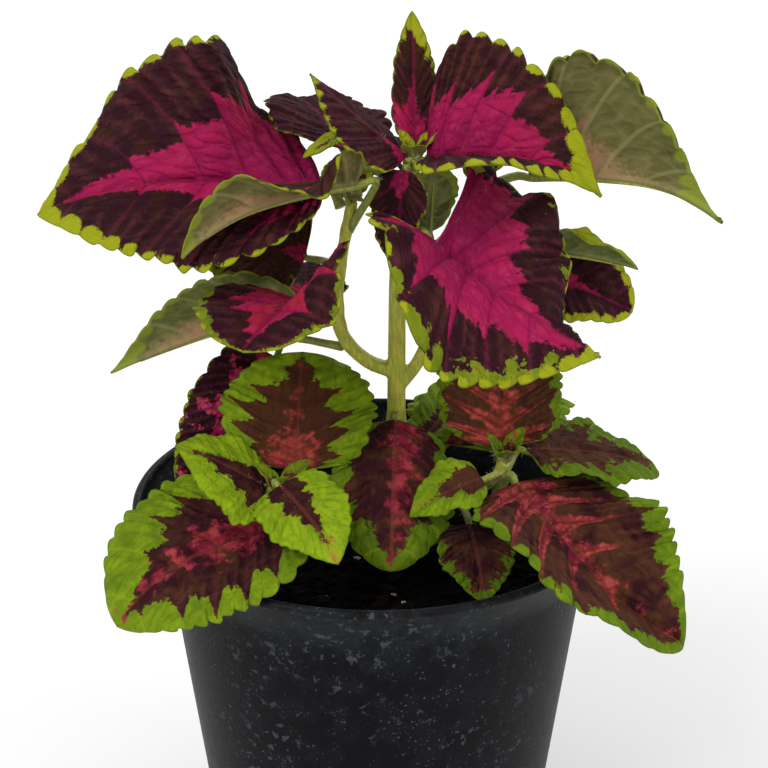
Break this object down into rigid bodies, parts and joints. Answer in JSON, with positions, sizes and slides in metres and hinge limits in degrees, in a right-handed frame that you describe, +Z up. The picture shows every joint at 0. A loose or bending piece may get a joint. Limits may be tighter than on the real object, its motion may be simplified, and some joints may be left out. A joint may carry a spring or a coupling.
{
  "type": "potted coleus plant",
  "caption": "Bushy coleus with scalloped burgundy, magenta and lime variegated leaves on a branched stem, growing in potting mix in a round black flared nursery pot.",
  "frame": {"origin": "centre of the pot's underside, on the surface it stands on", "axes": "+Z up along the pot's axis; -Y towards the plant's front, the side in the source view; +X to the right of that view"},
  "size_m": [0.1747, 0.1353, 0.2373],
  "materials": {
    "pot_plastic": "satin, slightly dusty",
    "potting_mix": "crumbly, matte",
    "stem_tissue": "soft, lightly hairy",
    "crown_foliage": "quilted, soft satin, burgundy with a magenta heart and lime edge",
    "lower_foliage": "quilted, soft satin, lime margin around a brown and red centre"
  },
  "bodies": {
    "root": {"pot": "pot_plastic", "soil": "potting_mix", "stems": "stem_tissue", "leaf_top_left": "crown_foliage", "leaf_crown_bud": "crown_foliage", "leaf_rolled_left": "crown_foliage", "leaf_crown_left": "crown_foliage", "leaf_top_right": "crown_foliage", "leaf_crown_tip": "crown_foliage", "leaf_back_right": "crown_foliage", "leaf_crown_front": "crown_foliage", "leaf_back_top": "crown_foliage", "leaf_young_left": "crown_foliage", "leaf_young_right": "crown_foliage", "leaf_front_right": "crown_foliage", "leaf_small_right": "crown_foliage", "leaf_side_right": "crown_foliage", "leaf_side_left": "crown_foliage", "leaf_hanging_left": "crown_foliage", "leaf_inner_left": "crown_foliage", "leaf_back_middle": "crown_foliage", "leaf_low_left": "crown_foliage", "leaf_upright_left": "lower_foliage", "leaf_shoot_left": "lower_foliage", "leaf_shoot_front": "lower_foliage", "leaf_rim_left": "lower_foliage", "leaf_front": "lower_foliage", "leaf_small_front": "lower_foliage", "leaf_upright_right": "lower_foliage", "leaf_low_right": "lower_foliage", "leaf_rim_right": "lower_foliage", "leaf_soil_front": "lower_foliage", "leaf_inner_back": "lower_foliage", "leaf_back_low_left": "lower_foliage", "leaf_back_low_right": "lower_foliage"}
  },
  "joints": []
}
